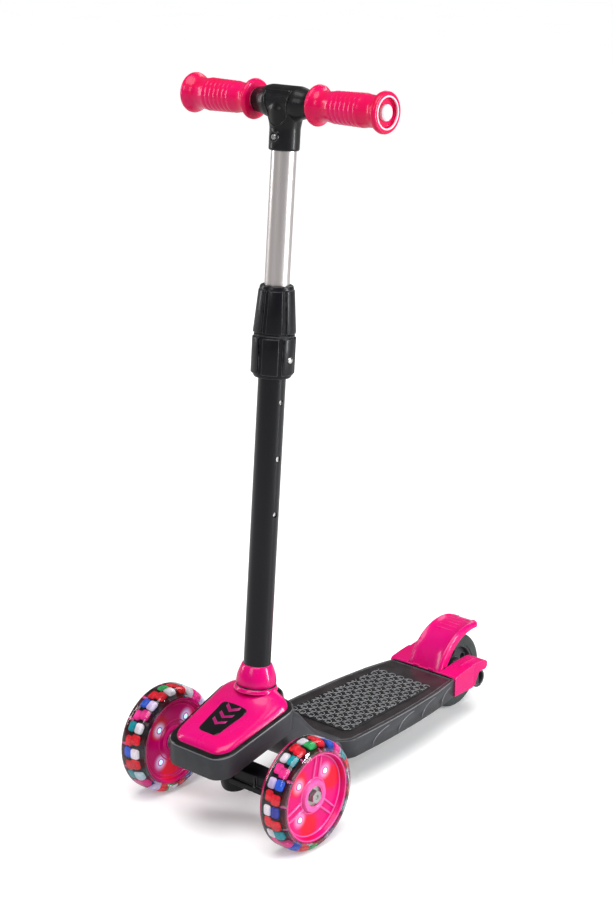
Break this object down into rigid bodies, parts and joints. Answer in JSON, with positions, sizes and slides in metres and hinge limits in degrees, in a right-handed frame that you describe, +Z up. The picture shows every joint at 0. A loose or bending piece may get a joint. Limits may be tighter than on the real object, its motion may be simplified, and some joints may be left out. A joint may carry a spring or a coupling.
{
  "type": "kick scooter",
  "caption": "Child's three-wheeled kick scooter with a lean-to-steer front axle, height-adjustable T-bar, grips, deck and rear foot brake.",
  "frame": {"origin": "middle of the footprint's bounding box, on the floor", "axes": "+Z up, the front faces -Y, +X is the rider's left"},
  "size_m": [0.2708, 0.5024, 0.7972],
  "materials": {
    "dark_grey_plastic": "fine grained moulding",
    "black_rubber": "satin",
    "pink_plastic": "glossy moulding",
    "black_plastic": "fine grained moulding",
    "zinc_steel": "zinc plated",
    "black_tube": "satin powder coat",
    "clear_tyre": "clear soft plastic",
    "blue_plastic": "coloured lugs",
    "led_plastic": "clear dome",
    "bright_steel": "polished",
    "grey_tyre": "satin",
    "bare_aluminium": "brushed and anodised",
    "rose_grip": "soft glossy grip",
    "pale_plastic": "glossy"
  },
  "bodies": {
    "frame": {"deck_shell": "dark_grey_plastic", "deck_mat": "black_rubber", "box_housing": "dark_grey_plastic", "cover_plate": "pink_plastic", "badge": "black_plastic", "collar_ring": "black_plastic", "bell_collar": "pink_plastic", "box_screws": "zinc_steel", "lower_tube": "black_tube", "clamp_collar": "black_plastic", "clamp_rivet": "zinc_steel", "clamp_wedge": "black_plastic", "kingpin_bolt": "zinc_steel", "kingpin_nut": "zinc_steel", "steer_cushion": "black_rubber", "tail_cover": "pink_plastic", "rear_axle_bolt": "zinc_steel", "rear_axle_nut": "zinc_steel", "rear_spacers": "zinc_steel", "fender_pin": "zinc_steel", "fender_spring": "zinc_steel"},
    "truck": {"truck_beam": "black_plastic", "axle_bolts": "zinc_steel", "axle_spacers": "zinc_steel"},
    "left_wheel": {"left_core": "pink_plastic", "left_tyre": "clear_tyre", "left_light_band": "blue_plastic", "left_leds": "led_plastic", "left_bearings": "bright_steel"},
    "right_wheel": {"right_core": "pink_plastic", "right_tyre": "clear_tyre", "right_light_band": "blue_plastic", "right_leds": "led_plastic", "right_bearings": "bright_steel"},
    "rear_wheel": {"rear_core": "dark_grey_plastic", "rear_tyre": "grey_tyre", "rear_bearings": "bright_steel"},
    "nut": {"twist_nut": "black_plastic"},
    "column": {"upper_tube": "bare_aluminium", "tube_guide": "black_plastic", "button_spring": "bright_steel", "t_joint": "black_plastic", "t_screw": "zinc_steel", "bar_tube": "bare_aluminium", "left_grip": "rose_grip", "right_grip": "rose_grip", "end_rings": "pale_plastic", "end_plugs": "pale_plastic"},
    "button": {"snap_button": "bright_steel"},
    "fender": {"brake_fender": "pink_plastic"}
  },
  "joints": [
    {"name": "truck_steer", "type": "hinge", "parent": "frame", "child": "truck", "pos_m": [0, -0.18775, 0.06], "axis": [0, -0.2607, 0.9654], "range_deg": [-10, 10], "stiffness_Nm_per_rad": 12},
    {"name": "left_wheel_spin", "type": "hinge", "parent": "truck", "child": "left_wheel", "pos_m": [0.103, -0.18575, 0.06], "axis": [1, 0, 0], "continuous": true},
    {"name": "right_wheel_spin", "type": "hinge", "parent": "truck", "child": "right_wheel", "pos_m": [-0.103, -0.18575, 0.06], "axis": [1, 0, 0], "continuous": true},
    {"name": "rear_wheel_spin", "type": "hinge", "parent": "frame", "child": "rear_wheel", "pos_m": [0, 0.20525, 0.046], "axis": [1, 0, 0], "continuous": true},
    {"name": "column_slide", "type": "slide", "parent": "frame", "child": "column", "axis": [0, 0.0778, 0.997], "range_m": [-0.1236, 0]},
    {"name": "clamp_turn", "type": "hinge", "parent": "frame", "child": "nut", "pos_m": [0, -0.11818, 0.54834], "axis": [0, 0.0778, 0.997], "range_deg": [0, 120]},
    {"name": "button_press", "type": "slide", "parent": "column", "child": "button", "axis": [-1, 0, 0], "range_m": [0, 0.0035], "stiffness_N_per_m": 600, "springref_m": -0.003},
    {"name": "brake_press", "type": "hinge", "parent": "frame", "child": "fender", "pos_m": [0, 0.15375, 0.054], "axis": [-1, 0, 0], "range_deg": [0, 7], "stiffness_Nm_per_rad": 2, "springref_deg": -2.86}
  ]
}
